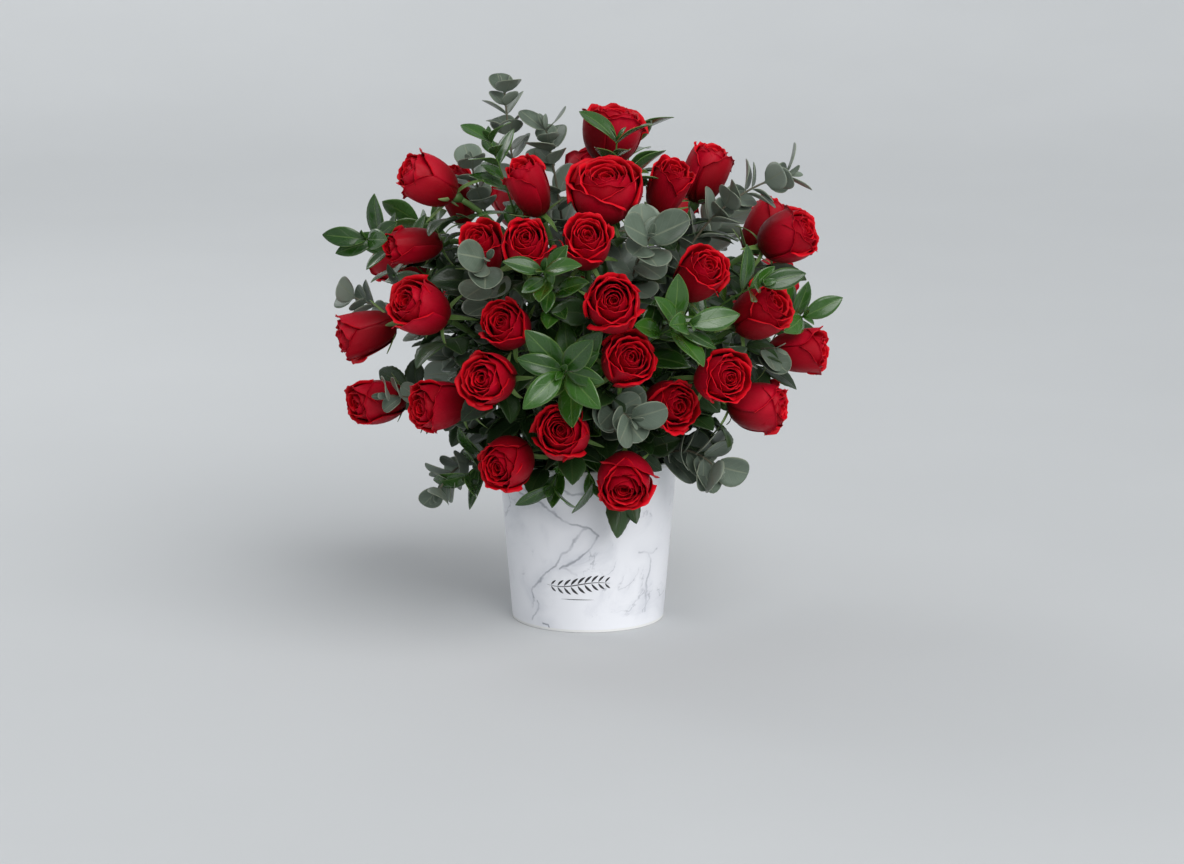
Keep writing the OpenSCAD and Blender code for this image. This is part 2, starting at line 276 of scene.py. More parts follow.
class Stem:
    """A stem's middle line, straight and then bent into its end, as points 2 mm apart."""

    def __init__(self, start, end, end_direction):
        straight = unit(end - start) @ end_direction > cos(STRAIGHT_TURN)
        line = np.array([start, end] if straight else self.bent(start, end, end_direction))
        lengths = np.r_[0, np.cumsum(norm(np.diff(line, axis=0), axis=1))]
        self.length = lengths[-1]
        steps = max(3, int(self.length / STEM_STEP))
        at = np.linspace(0, self.length, steps)
        self.points = np.stack([np.interp(at, lengths, line[:, k]) for k in range(3)], axis=1)

    @staticmethod
    def bent(start, end, end_direction):
        """Straight from the start, then an arc that ends at the end in the end's direction."""
        reach = norm(end - CORE)
        tangent = BEND_SHARE * reach
        corner = end - tangent * end_direction
        run = unit(corner - start)
        turn = acos(min(1.0, run @ end_direction))
        radius = tangent / tan(turn / 2)
        side = part_square(end_direction, run)
        first = corner - tangent * run
        arc = [
            first + radius * ((1 - cos(a)) * side + sin(a) * run)
            for a in np.linspace(0, turn, 16)
        ]
        return [start] + arc

    def back(self, distance):
        """Point and direction at a distance back from the end."""
        s = max(0.0, self.length - distance)
        f = s / self.length * (len(self.points) - 1)
        i = min(int(f), len(self.points) - 2)
        step = self.points[i + 1] - self.points[i]
        return self.points[i] + (f - i) * step, unit(step)


class Rose:
    """Place and size of one CAD rose: its bloom's centre, axis, diameter and length, and its stem."""

    def __init__(self, node):
        self.node = node
        points, triangles = triangles_of(node)
        _, self.axis, corners = flat_faces(points, triangles, MOUTH_AREA, seeds=60)[0]
        mouth = (corners.min(axis=0) + corners.max(axis=0)) / 2
        mouth_r = norm(corners - corners.mean(axis=0), axis=1).max()
        self.d = mouth_r / MOUTH_SHARE
        self.length = BLOOM_L - BLOOM_DROP * self.d
        self.centre = corners.mean(axis=0) - self.axis * self.length / 2
        self.neck = self.centre - self.axis * (self.length / 2 + NECK)
        far = points[np.argmax(norm(points - mouth, axis=1))]
        self.stem = Stem(ring_near(points, far, ROSE_STEM_R), self.neck, self.axis)


ROSES = [Rose(node) for node in sorted(NODES) if node.startswith("rose_")]


class Leaf:
    """A flat CAD leaf: its base on its stem's middle line, its directions and its length."""

    def __init__(self, corners, normal, stem):
        gaps = norm(corners[:, None] - stem.points, axis=2)
        self.base = stem.points[gaps.min(axis=0).argmin()]
        corners = corners - normal * ((corners[0] - self.base) @ normal)
        reach = norm(corners - self.base, axis=1)
        tip = corners[reach.argmax()]
        self.length = reach.max()
        self.along = unit(tip - self.base)
        self.normal = normal
        self.side = np.cross(normal, self.along)


class Sprig:
    """One CAD sprig: its stem and its leaves."""

    def __init__(self, points, triangles, stem_r):
        used = points[np.unique(triangles)]
        start = ring_near(used, CORE, stem_r)
        self.stem_r = stem_r
        flats = flat_faces(points, triangles, TIP_AREA)
        self.stem = Stem(start, *self.find_tip(flats, start, stem_r))
        self.leaves = []
        for area, normal, corners in flats:
            # A leaf has two large sides; the one that faces the stem's tip is used.
            if area > LEAF_AREA and normal @ self.direction_at(corners.mean(axis=0)) > 0.3:
                self.leaves.append(Leaf(corners, normal, self.stem))

    def direction_at(self, p):
        i = norm(self.stem.points - p, axis=1).argmin()
        i = min(i, len(self.stem.points) - 2)
        return unit(self.stem.points[i + 1] - self.stem.points[i])

    @staticmethod
    def find_tip(flats, start, stem_r):
        """Centre and direction of the stem's flat round end that is farthest from its start."""
        discs = []
        for _, normal, corners in flats:
            centre = (corners.max(axis=0) + corners.min(axis=0)) / 2
            spread = norm(corners - corners.mean(axis=0), axis=1)
            if len(corners) > 8 and abs(spread - stem_r).max() < 2e-4:
                discs.append((norm(centre - start), corners.mean(axis=0), normal))
        return max(discs, key=lambda disc: disc[0])[1:]


def sprigs_of(kind, stem_r):
    found = {}
    for node in sorted(NODES):
        if node.startswith(kind):
            points, triangles = triangles_of(node)
            found[node] = [Sprig(points, part, stem_r) for part in separate_solids(points, triangles)]
    return found


EUCALYPTUS = sprigs_of("eucalyptus_", EUCALYPTUS_STEM_R)
RUSCUS = sprigs_of("ruscus_", RUSCUS_STEM_R)


# --- materials ---


class Look:
    """A material and its node tree, with short calls for the nodes used here."""

    def __init__(self, name, **sockets):
        self.material = bpy.data.materials.new(name)
        self.material.use_nodes = True
        self.tree = self.material.node_tree
        self.shader = self.tree.nodes["Principled BSDF"]
        self.set(self.shader, **sockets)

    def node(self, kind, *inputs, **settings):
        node = self.tree.nodes.new("ShaderNode" + kind)
        for key, value in settings.items():
            setattr(node, key, value)
        for i, value in enumerate(inputs):
            if value is not None:
                self.feed(node.inputs[i], value)
        return node

    def set(self, node, **sockets):
        for key, value in sockets.items():
            self.feed(node.inputs[key.replace("_", " ")], value)
        return node

    def feed(self, socket, value):
        if isinstance(value, bpy.types.NodeSocket):
            self.tree.links.new(value, socket)
        elif isinstance(value, (tuple, list)) and socket.type == "RGBA":
            socket.default_value = (*value[:3], 1)
        else:
            socket.default_value = value

    def attribute(self, name):
        return self.node("Attribute", attribute_name=name).outputs["Fac"]

    def place(self):
        return self.node("TexCoord").outputs["Object"]

    def math(self, operation, a, b=None):
        return self.node("Math", a, b, operation=operation).outputs[0]

    def times(self, a, b):
        return self.math("MULTIPLY", a, b)

    def vector(self, operation, a, b=None):
        node = self.node("VectorMath", a, b, operation=operation)
        return node.outputs["Value" if operation in ("DOT_PRODUCT", "LENGTH") else "Vector"]

    def scaled(self, vector, factor):
        node = self.node("VectorMath", vector, operation="SCALE")
        return self.set(node, Scale=factor).outputs["Vector"]

    def range(self, value, low, high, to_low=0.0, to_high=1.0):
        ends = (low, high, to_low, to_high)
        return self.node("MapRange", value, *ends, interpolation_type="SMOOTHSTEP").outputs[0]

    def noise(self, scale, detail=3.0, roughness=0.5, distortion=0.0, at=None):
        at = self.place() if at is None else at
        node = self.set(self.node("TexNoise"), Vector=at, Scale=scale, Detail=detail)
        return self.set(node, Roughness=roughness, Distortion=distortion).outputs["Fac"]

    def mix(self, factor, a, b):
        node = self.set(self.node("Mix", data_type="RGBA", clamp_factor=True), Factor=factor)
        self.feed(node.inputs[6], a)
        self.feed(node.inputs[7], b)
        return node.outputs[2]

    def bump(self, height, distance, strength):
        node = self.set(self.node("Bump"), Strength=strength, Distance=distance, Height=height)
        self.set(self.shader, Normal=node.outputs["Normal"])

    def colour(self, value):
        self.set(self.shader, Base_Color=value)

    def roughness(self, texture, low, high):
        self.set(self.shader, Roughness=self.range(texture, 0.3, 0.7, low, high))


def petal_look():
    """Velvety red: brighter inside, with a painted highlight at the lip, painted shade darkening it towards
    the base, and fine veins.
    """
    look = Look("rose petal", Sheen_Weight=0.06, Sheen_Roughness=0.4, Specular_IOR_Level=0.18)
    look.set(look.shader, Sheen_Tint=(1.0, 0.08, 0.14))
    along, across, tone, back = (look.attribute(n) for n in ("along", "across", "tone", "back"))
    inside = look.mix(tone, (0.52, 0.0, 0.007), (0.72, 0.001, 0.012))
    outside = look.mix(tone, (0.36, 0.0, 0.009), (0.52, 0.001, 0.020))
    face = look.mix(back, outside, inside)
    # Painted shade: each petal darkens towards its base, deep in the bloom where the petals overlap.
    painted_base_shade = look.mix(look.range(along, 0.15, 0.75), (0.12, 0.0, 0.002), face)
    mottle = look.range(look.noise(160.0, 4.0, 0.6), 0.35, 0.7)
    mottled = look.mix(look.times(mottle, 0.25), painted_base_shade, (0.30, 0.0, 0.004))
    # Painted highlight: a lighter red band along each petal's lip, where the light catches it.
    rim = look.range(along, 0.9, 1.0)
    look.colour(look.mix(look.times(rim, 0.12), mottled, (0.70, 0.004, 0.020)))
    look.roughness(look.noise(220.0), 0.45, 0.62)
    wander = look.noise(300.0, 4.0, 0.65)
    strands = look.math("ADD", look.times(across, 70.0), look.times(wander, 9.0))
    veins = look.times(look.math("SINE", strands), 0.09)
    look.bump(look.math("ADD", veins, wander), 0.0004, 0.4)
    return look.material


def leaf_look(name, dark, light, underside, edge, roughness, coat, vein_count, vein_depth):
    """A leaf: a lighter midrib and veins, a paler underside and a thin lighter edge."""
    look = Look(name, Coat_Weight=coat, Coat_Roughness=0.18, Specular_IOR_Level=0.34)
    along, across, tone, back = (look.attribute(n) for n in ("along", "across", "tone", "back"))
    width = look.math("ABSOLUTE", across)
    blotch = look.range(look.noise(55.0, 4.0, 0.6), 0.3, 0.7)
    face = look.mix(tone, dark, light)
    face = look.mix(look.times(blotch, 0.35), face, light)
    face = look.mix(back, face, underside)
    midrib = look.range(width, 0.09, 0.02)
    face = look.mix(look.times(midrib, 0.45), face, edge)
    slant = look.times(width, -0.35 * vein_count)
    phase = look.math("ADD", look.times(along, vein_count), slant)
    vein = look.range(look.math("ABSOLUTE", look.math("SINE", phase)), 0.16, 0.0)
    face = look.mix(look.times(vein, 0.15), face, edge)
    face = look.mix(look.times(look.range(width, 0.9, 1.0), 0.6), face, edge)
    look.colour(face)
    cloud = look.noise(90.0)
    look.roughness(cloud, roughness - 0.06, roughness + 0.1)
    grain = look.times(look.noise(700.0, 3.0), 0.35)
    relief = look.math("SUBTRACT", grain, look.math("MAXIMUM", midrib, look.times(vein, 0.6)))
    look.bump(relief, vein_depth, 0.5)
    return look.material


def stem_look(name, low, high, speck):
    """A green or woody stem that changes colour along its length, with fine lengthwise grain."""
    look = Look(name, Roughness=0.5, Specular_IOR_Level=0.4)
    grain = look.noise(1.0, at=look.vector("MULTIPLY", look.place(), (900.0, 900.0, 120.0)))
    face = look.mix(look.attribute("along"), low, high)
    spots = look.range(look.noise(260.0, 3.0), 0.55, 0.75)
    look.colour(look.mix(look.times(spots, 0.5), face, speck))
    look.bump(grain, 0.0003, 0.5)
    return look.material


def board_look():
    """White lined board with a faint fibre."""
    look = Look("white board", Specular_IOR_Level=0.35)
    stretched = look.vector("MULTIPLY", look.place(), (500.0, 500.0, 1400.0))
    fibre = look.noise(1.0, 4.0, 0.6, at=stretched)
    look.colour(look.mix(fibre, (0.80, 0.80, 0.79), (0.88, 0.88, 0.87)))
    look.roughness(fibre, 0.5, 0.65)
    look.bump(fibre, 0.00012, 0.4)
    return look.material


def clouded_look(name, specular, scale, dark, light, *roughness):
    """A plain surface whose colour and roughness vary slightly together."""
    look = Look(name, Specular_IOR_Level=specular)
    cloud = look.noise(scale)
    look.colour(look.mix(cloud, dark, light))
    look.roughness(cloud, *roughness)
    return look


def plastic_look():
    """Dark green moulded plastic with a fine texture."""
    look = clouded_look(
        "liner plastic", 0.5, 30.0, (0.018, 0.05, 0.028), (0.03, 0.08, 0.045), 0.38, 0.5
    )
    look.bump(look.noise(1500.0, 2.0), 0.0001, 0.4)
    return look.material


def foam_look():
    """Wet dark green floral foam, full of fine pores, with painted shade in the pores."""
    look = Look("floral foam", Roughness=0.8, Specular_IOR_Level=0.3)
    pores = look.set(look.node("TexVoronoi", look.place()), Scale=700.0).outputs["Distance"]
    wet = look.noise(35.0, 3.0)
    face = look.mix(wet, (0.02, 0.06, 0.025), (0.04, 0.11, 0.04))
    # Painted shade: the pores are darkened almost to black, as if shaded inside.
    look.colour(look.mix(look.range(pores, 0.0, 0.35, 0.8, 0.0), face, (0.006, 0.018, 0.008)))
    look.bump(pores, 0.0006, 0.7)
    return look.material


# The main veins of the marble print on the front of the box: points (arc length from the front's
# middle, height) in millimetres, and how dark each one is.
MARBLE_VEINS = [
    (0.75, [(-63, 120), (-45, 115), (-38, 109), (-23, 102), (-7, 96), (0, 92), (8, 87)]),
    (0.60, [(-1, 92), (-12, 81), (-23, 67), (-28, 58)]),
    (0.75, [(7, 86), (3, 75), (-5, 70), (-14, 63), (-23, 56)]),
    (0.70, [(-28, 58), (-34, 56), (-41, 50), (-47, 42), (-53, 33), (-54, 27)]),
    (0.55, [(-50, 24), (-49, 19), (-53, 12), (-58, 7)]),
    (0.95, [(-45, 6), (-39, 5), (-37, 1)]),
    (0.35, [(-21, 57), (-16, 54), (-11, 52)]),
    (0.50, [(47, 69), (53, 68), (59, 65), (61, 60), (60, 49), (57, 36), (57, 13)]),
    (0.45, [(70, 68), (61, 66)]),
    (0.60, [(-60, 124), (-40, 119), (-23, 126), (-12, 121), (2, 126)]),
]


def marble_look():
    """White marble print: soft grey clouds, long veins on the front and finer ones all round."""
    look = Look("marble print", Coat_Weight=0.25, Coat_Roughness=0.3, Specular_IOR_Level=0.4)
    place = look.place()
    warp = look.set(look.node("TexNoise"), Vector=place, Scale=42.0, Detail=5.0)
    shift = look.scaled(look.vector("SUBTRACT", warp.outputs["Color"], (0.5, 0.5, 0.5)), 0.016)
    x, y, z = look.node("SeparateXYZ", look.vector("ADD", place, shift)).outputs
    angle = look.math("ARCTAN2", x, look.times(y, -1.0))
    mean_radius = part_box("marble_wrap")[1].x * 0.92
    flat = look.node("CombineXYZ", look.times(angle, mean_radius), z, 0.0).outputs[0]
    lines = clouds = 0.0
    for darkness, points in MARBLE_VEINS:
        for a, b in zip(points, points[1:]):
            distance = segment_distance(look, flat, a, b)
            line = look.range(distance, 0.0017, 0.0, 0.0, darkness)
            haze = look.range(distance, 0.013, 0.0, 0.0, 0.7 * darkness)
            lines, clouds = look.math("MAXIMUM", lines, line), look.math("MAXIMUM", clouds, haze)
    lines = look.times(lines, look.range(look.noise(55.0, 3.0), 0.35, 0.6, 0.35, 1.0))
    patch = look.noise(24.0, 5.0, 0.6, 0.6)
    for scale, width, dark, low in ((11.0, 0.014, 0.45, 0.52), (26.0, 0.02, 0.22, 0.56)):
        web = look.noise(scale, 6.0, 0.55, 0.9)
        crest = look.range(look.math("ABSOLUTE", look.math("SUBTRACT", web, 0.5)), width, 0.0, 0.0, dark)
        shown = look.range(patch, low, low + 0.12)
        lines = look.math("MAXIMUM", lines, look.times(crest, shown))
    clouds = look.math("ADD", look.times(clouds, patch), look.range(patch, 0.46, 0.8, 0.0, 0.5))
    white = look.mix(clouds, (0.88, 0.89, 0.93), (0.58, 0.60, 0.66))
    look.colour(look.mix(lines, white, (0.22, 0.235, 0.28)))
    look.roughness(patch, 0.34, 0.46)
    look.bump(look.noise(1800.0, 2.0), 0.00004, 0.3)
    return look.material


def segment_distance(look, p, a, b):
    """Distance in metres from p to the segment between two points given in millimetres."""
    start = Vector((a[0] * MM, a[1] * MM, 0))
    run = Vector((b[0] * MM, b[1] * MM, 0)) - start
    offset = look.vector("SUBTRACT", p, tuple(start))
    share = look.math("DIVIDE", look.vector("DOT_PRODUCT", offset, tuple(run)), run.length_squared)
    share = look.node("Clamp", share).outputs[0]
    foot = look.scaled(tuple(run), share)
    return look.vector("LENGTH", look.vector("SUBTRACT", offset, foot))


PETAL = petal_look()
ROSE_LEAF = leaf_look(
    "rose leaf", (0.007, 0.022, 0.005), (0.018, 0.050, 0.010), (0.035, 0.075, 0.026), (0.06, 0.10, 0.030),
    0.4, 0.2, 34.0, 0.0008,
)
SEPAL = leaf_look(
    "sepal", (0.10, 0.20, 0.04), (0.17, 0.28, 0.07), (0.20, 0.30, 0.11), (0.25, 0.30, 0.12),
    0.5, 0.0, 12.0, 0.0003,
)
RUSCUS_LEAF = leaf_look(
    "ruscus leaf", (0.010, 0.043, 0.004), (0.031, 0.108, 0.009), (0.042, 0.105, 0.024), (0.13, 0.23, 0.05),
    0.26, 0.5, 9.0, 0.0005,
)
EUCALYPTUS_LEAF = leaf_look(
    "eucalyptus leaf", (0.050, 0.074, 0.048), (0.17, 0.22, 0.168), (0.225, 0.27, 0.222), (0.26, 0.29, 0.20),
    0.42, 0.15, 16.0, 0.0004,
)
ROSE_STEM = stem_look("rose stem", (0.04, 0.10, 0.02), (0.10, 0.19, 0.05), (0.10, 0.07, 0.03))
RUSCUS_STEM = stem_look("ruscus stem", (0.04, 0.10, 0.02), (0.08, 0.17, 0.03), (0.03, 0.07, 0.02))
EUCALYPTUS_STEM = stem_look("eucalyptus stem", (0.10, 0.07, 0.05), (0.14, 0.13, 0.09), (0.07, 0.05, 0.035))
BOARD = board_look()
PLASTIC = plastic_look()
FOAM_WET = foam_look()
MARBLE = marble_look()
INK = clouded_look(
    "printing ink", 0.4, 900.0, (0.012, 0.012, 0.014), (0.05, 0.05, 0.055), 0.4, 0.55
).material
FLOOR = clouded_look(
    "pale floor", 0.2, 3.0, (0.56, 0.575, 0.585), (0.59, 0.605, 0.615), 0.7, 0.8
).material


# --- rose blooms ---

PETAL_ROWS = 16
PETAL_COLUMNS = 23
LIP_SHARE = 0.30  # share of a petal's rows in its rolled lip
PETAL_T = 0.0004
FEWEST_PETALS = 17  # in a bud; a fully opened bloom has OPENED_PETALS more
OPENED_PETALS = 7
# Shares of the control points of a petal's side view at its widest place.
FOOT_WEIGHT, LOW_WEIGHT, BULGE_WEIGHT, MOUTH_WEIGHT = 0.0033, 0.152, 0.4355, 0.373


def bezier(points, t):
    a, b, c, d = points
    s = 1 - t
    return s**3 * a + 3 * s * s * t * b + 3 * s * t * t * c + t**3 * d


def bezier_slope(points, t):
    a, b, c, d = points
    s = 1 - t
    return 3 * (s * s * (b - a) + 2 * s * t * (c - b) + t * t * (d - c))


def petal_grid(rose, opened, flare, u, rng):
    """One petal around the Z axis, facing +X. u is 0 at the core and 1 at the outside, opened is 0
    in a bud and 1 in a full bloom, and flare is how far the outer petals lean out."""
    half, outer = rose.length / 2, rose.d / 2
    belly = outer * (0.13 + (0.83 - 0.06 * flare) * u**0.9)
    lean = 0.58 + (0.24 + 0.26 * flare) * u**1.4
    mouth = belly * (lean + rng.uniform(-0.03, 0.03))
    top = half * (0.66 + 0.34 * sin(pi * min(1.0, 0.18 + 0.62 * u)) - 0.16 * opened * u**4)
    top += half * rng.uniform(-0.06, 0.05)
    foot = 0.0015 + 0.0025 * u
    bulge = (1 - FOOT_WEIGHT - MOUTH_WEIGHT * mouth / belly - LOW_WEIGHT) / BULGE_WEIGHT
    radii = (foot, 0.9 * belly, bulge * belly, mouth)
    heights = (-half, -0.92 * half, 0.12 * half, top)

    v = np.linspace(-1, 1, PETAL_COLUMNS)
    body_rows = round(PETAL_ROWS * (1 - LIP_SHARE))
    lip_rows = PETAL_ROWS - body_rows
    reach = 1 - (0.10 + 0.14 * u) * np.abs(v) ** 2.4
    t = np.linspace(0, 1, body_rows)[:, None] ** 0.9 * reach
    r, z = bezier(radii, t), bezier(heights, t)

    roll = (0.5 + (0.7 + 0.7 * opened) * u) * rng.uniform(0.85, 1.2)
    sides = np.abs(v + rng.uniform(-0.15, 0.15))
    curl = roll * (0.9 + 0.4 * sides**1.6)
    lip_r = (0.0010 + (0.0008 + 0.0011 * opened) * u) * rng.uniform(0.85, 1.15)
    heading = np.arctan2(bezier_slope(heights, reach), bezier_slope(radii, reach))
    turn = np.linspace(0, 1, lip_rows + 1)[1:, None] * curl
    r_lip = r[-1] + lip_r * (np.sin(heading) - np.sin(heading - turn))
    z_lip = z[-1] + lip_r * (np.cos(heading - turn) - np.cos(heading))
    r, z = np.concatenate([r, r_lip]), np.concatenate([z, z_lip])

    s = np.linspace(0, 1, PETAL_ROWS)[:, None]
    half_width = radians(152 - 88 * u**0.6)
    fan = 0.55 + 0.45 * np.sin(pi / 2 * np.minimum(1, s / 0.5))
    angle = half_width * v * fan
    near_top = s**3
    waves = [
        (rng.uniform(1.5, 2.5), 0.0006), (rng.uniform(3.5, 5.5), 0.0004), (rng.uniform(7, 9), 0.00018),
    ]
    for frequency, size in waves:
        phase = rng.uniform(0, tau)
        r = r + (0.4 + u) * size * near_top * np.sin(frequency * pi * v + phase + 2 * s)
        z = z + (0.4 + u) * size * near_top * np.sin(frequency * pi * v + 2 * phase)
    point = np.exp(-((v / 0.22) ** 2)) * near_top
    z = z + 0.0010 * u * point
    dent = np.sin(pi * s) * np.cos(3 * pi * v / 2 + rng.uniform(-1, 1))
    r = r + 0.0005 * u * dent + 0.0007 * v * rng.choice([-1, 1])
    r = np.maximum(r, 0.0006)
    return np.stack([r * np.cos(angle), r * np.sin(angle), z + 0 * angle], axis=2), s + 0 * v, v + 0 * s


def core_grid(rose):
    """The tightly rolled middle of a bloom, one sheet of two and a quarter turns."""
    half, bottom = rose.length / 2, -0.3 * rose.length / 2
    turns = np.linspace(0, 2.25, 46)
    s = np.linspace(0, 1, 8)[:, None]
    r = 0.0007 + (0.085 * rose.d / 2) * turns / 1.6 * (0.75 + 0.5 * s * (1 - s) * 4 - 0.1 * s)
    top = half * (0.52 + 0.05 * turns + 0.03 * np.sin(5 * turns))
    z = bottom + (top - bottom) * s
    a = tau * turns + 0 * s
    return np.stack([r * np.cos(a), r * np.sin(a), z + 0 * a], axis=2), s + 0 * a, 0 * a


def add_bloom(pile, rose, rng):
    """A core and spiralling petals round it. Larger blooms are further open."""
    opened = float(np.clip((rose.d - 0.034) / 0.022, 0, 1))
    count = FEWEST_PETALS + round(OPENED_PETALS * opened)
    x, y = square_to(rose.axis)
    axes = np.stack([x, y, rose.axis])
    squeeze = np.array([rng.uniform(0.95, 1.04), rng.uniform(0.95, 1.04), 1.0])
    start = rng.uniform(0, tau)
    flare = rng.uniform(0.1, 1)
    blown = float(np.clip((rose.d - 0.052) / 0.01, 0, 1))

    def place(grid, heading, tilt=0.0, lean=0.0):
        c, s = cos(heading), sin(heading)
        spun = grid @ np.array([[c, s, 0], [-s, c, 0], [0, 0, 1.0]])
        lift = spun[..., 2:3] + rose.length / 2
        spun = spun + lift * (tilt * np.array([c, s, 0]) + lean * np.array([-s, c, 0]))
        return rose.centre + (spun * squeeze) @ axes

    grid, s, v = core_grid(rose)
    add_shell(pile, place(grid, start), PETAL_T, along=0.5 + 0.45 * s, across=v, tone=0.6)
    for i in range(count):
        u = (i + 0.7) / (count - 0.3)
        grid, s, v = petal_grid(rose, opened, flare, u, rng)
        heading = start + i * GOLDEN_ANGLE + rng.uniform(-0.12, 0.12)
        outward = rng.normal(0, 0.012) + (0.012 * opened + 0.07 * blown) * u**3
        lean = rng.normal(0, 0.015)
        thickness = PETAL_T * (1.1 - 0.45 * s)
        placed = place(grid, heading, outward, lean)
        add_shell(pile, placed, thickness, along=s, across=v, tone=rng.uniform(0, 1))


# --- leaves ---

CENTRES = np.array([rose.centre for rose in ROSES])
AXES = np.array([rose.axis for rose in ROSES])
HALVES = np.array([rose.length / 2 for rose in ROSES])
RADII = np.array([rose.d / 2 for rose in ROSES])
FOAM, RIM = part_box("foam_brick")[1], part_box("rim_bead")[1]  # x is the radius, z the top
BEAD_T = 0.0024  # the bead's thickness
RIM_ROOM = 0.0015  # space between a leaf and the bead
BOX_ROOM = 0.004  # the same in the coarser test before a leaf is made
BLOOM_ROOM = 0.001
HIP_ROOM = 0.007  # radius kept clear round a hip


def leaf_grid(base, along, normal, length, half_width, rows, columns, fold, bend, cup, twist):
    """A leaf's middle sheet. half_width is a function of the share of its length."""
    s = (1 - np.cos(np.linspace(0.02, 1, rows) * pi)) / 2
    s[-1] = 1
    v = np.linspace(-1, 1, columns)
    heading = bend * s**1.2
    ds = np.diff(s, prepend=s[0]) * length
    x = s[0] * length + np.cumsum(np.cos(heading) * ds)
    z = -np.cumsum(np.sin(heading) * ds)
    across = np.cross(along, normal)
    w = np.array([half_width(t) for t in s])
    offset = v * w[:, None]
    rise = fold * np.abs(offset) + cup * offset**2 / max(w.max(), 1e-6)
    above = np.cos(heading)[:, None] * normal + np.sin(heading)[:, None] * along
    roll = twist * s[:, None, None]
    sideways = np.cos(roll) * across + np.sin(roll) * above[:, None, :]
    upwards = np.cos(roll) * above[:, None, :] - np.sin(roll) * across
    middle = base + x[:, None] * along + z[:, None] * normal
    grid = middle[:, None, :] + offset[..., None] * sideways + rise[..., None] * upwards
    return grid, s[:, None] + 0 * v, v + 0 * s[:, None]


def stalked(outline, stalk, stalk_w):
    """An outline that starts with a narrow stalk."""

    def half_width(t):
        if t <= stalk:
            return stalk_w
        return max(stalk_w * (1 - t), outline((t - stalk) / (1 - stalk)))

    return half_width


def ruscus_width(width):
    return stalked(lambda t: width / 2 * sin(pi * min(t, 1)) ** 0.8, 0.03, 0.0009)


def eucalyptus_width(width):
    return stalked(lambda t: width / 2 * sqrt(max(0.0, 1 - (2 * t - 1) ** 2)) ** 0.92, 0.09, 0.0009)


def toothed_width(width, teeth=9):
    def outline(t):
        body = width / 2 * sin(pi * t**0.85) ** 0.75 if 0 < t < 1 else 0.0
        return body * (1 + 0.10 * ((t * teeth) % 1 - 0.5))

    return stalked(outline, 0.05, 0.0007)


# Outline, rows, columns, ranges of fold, bend and cup, spread of the twist, and thickness.
LEAF_KINDS = {
    "ruscus": (ruscus_width, 15, 7, (0.10, 0.28), (0.15, 0.75), None, 0.2, 0.0005),
    "eucalyptus": (eucalyptus_width, 13, 9, (0.0, 0.08), (-0.25, 0.35), (0.05, 0.30), 0.12, 0.0005),
    "rose": (toothed_width, 27, 7, (0.12, 0.30), (0.2, 0.8), None, 0.2, 0.0004),
}


def add_leaf(pile, base, along, normal, length, width, kind, rng, slot):
    """One leaf of a kind, slightly different each time, lifted where it would cut the box's rim."""
    outline, rows, columns, fold, bend, cup, twist, thickness = LEAF_KINDS[kind]
    shape = (outline(width), rows, columns, rng.uniform(*fold), rng.uniform(*bend))
    shape += (rng.uniform(*cup) if cup else 0.0, rng.normal(0, twist))
    phase, tone = rng.uniform(0, tau), rng.uniform(0, 1)
    for lift in np.arange(0, 2.1, 0.15):
        aim = unit(along + [0, 0, lift])
        face = part_square(normal, aim)
        grid, s, v = leaf_grid(base, aim, face, length, *shape)
        ripple = 0.012 * length * np.abs(v) ** 2 * np.sin(7 * s + phase)
        grid = grid + ripple[..., None] * face
        if clear_of_rim(grid):
            add_shell(pile, grid, thickness, slot, along=s, across=v, tone=tone)
            return


def clear_of_rim(grid):
    """True if no point of a leaf is in the bead round the box's rim or in the wall below it."""
    r = np.hypot(grid[..., 0], grid[..., 1])
    over_wall = (r > RIM.x - BEAD_T - RIM_ROOM) & (r < RIM.x + RIM_ROOM)
    return not (over_wall & (grid[..., 2] < RIM.z + RIM_ROOM)).any()


def has_room(points, own=None):
    """True if no point is in the box, the foam or a bloom, apart from the rose own's bloom."""
    points = np.asarray(points)
    r = np.hypot(points[:, 0], points[:, 1])
    low = (points[:, 2] < RIM.z + BOX_ROOM) & (r < RIM.x + BOX_ROOM)
    in_foam = (points[:, 2] < FOAM.z + BOX_ROOM / 2) & (r < FOAM.x + BOX_ROOM)
    if (low | in_foam).any():
        return False
    offset = points[:, None, :] - CENTRES
    along = (offset * AXES).sum(axis=2)
    across = norm(offset - along[..., None] * AXES, axis=2)
    inside = (np.abs(along) < HALVES + BLOOM_ROOM) & (across < RADII + BLOOM_ROOM)
    inside |= (along < 0) & (along > -HALVES - NECK) & (across < HIP_ROOM)
    if own is not None:
        inside[:, own] = False
    return not inside.any()


# --- stems ---

# Profiles of (radius, height), from the bottom to the top.
HIP = [
    (0.0026, 0.0), (0.0034, 0.0012), (0.0046, 0.004), (0.0050, 0.0065), (0.0044, 0.0085), (0.0030, 0.0092),
]
THORN = [(0.0016, 0.0016), (0.0011, 0.0026), (0.0005, 0.0047), (0.0001, 0.0057)]
STEM_BOTTOM = 0.03  # part of a rose's stem without thorns or leaves
MOST_LEAVES = 4
LEAF_GAP = 0.027  # between two places where a leaf is tried
COMPOUND_REACH = 0.062  # from the stem to the leaf's tip
PETIOLE = 0.026
LOWEST_FRONT_ROSE = "rose_29"
ROSE_SEED = 1000


def sepal_width(t):
    return 0.0027 * (0.75 + 0.6 * t) * max(0.0, 1 - t) ** 0.75 + 0.0002


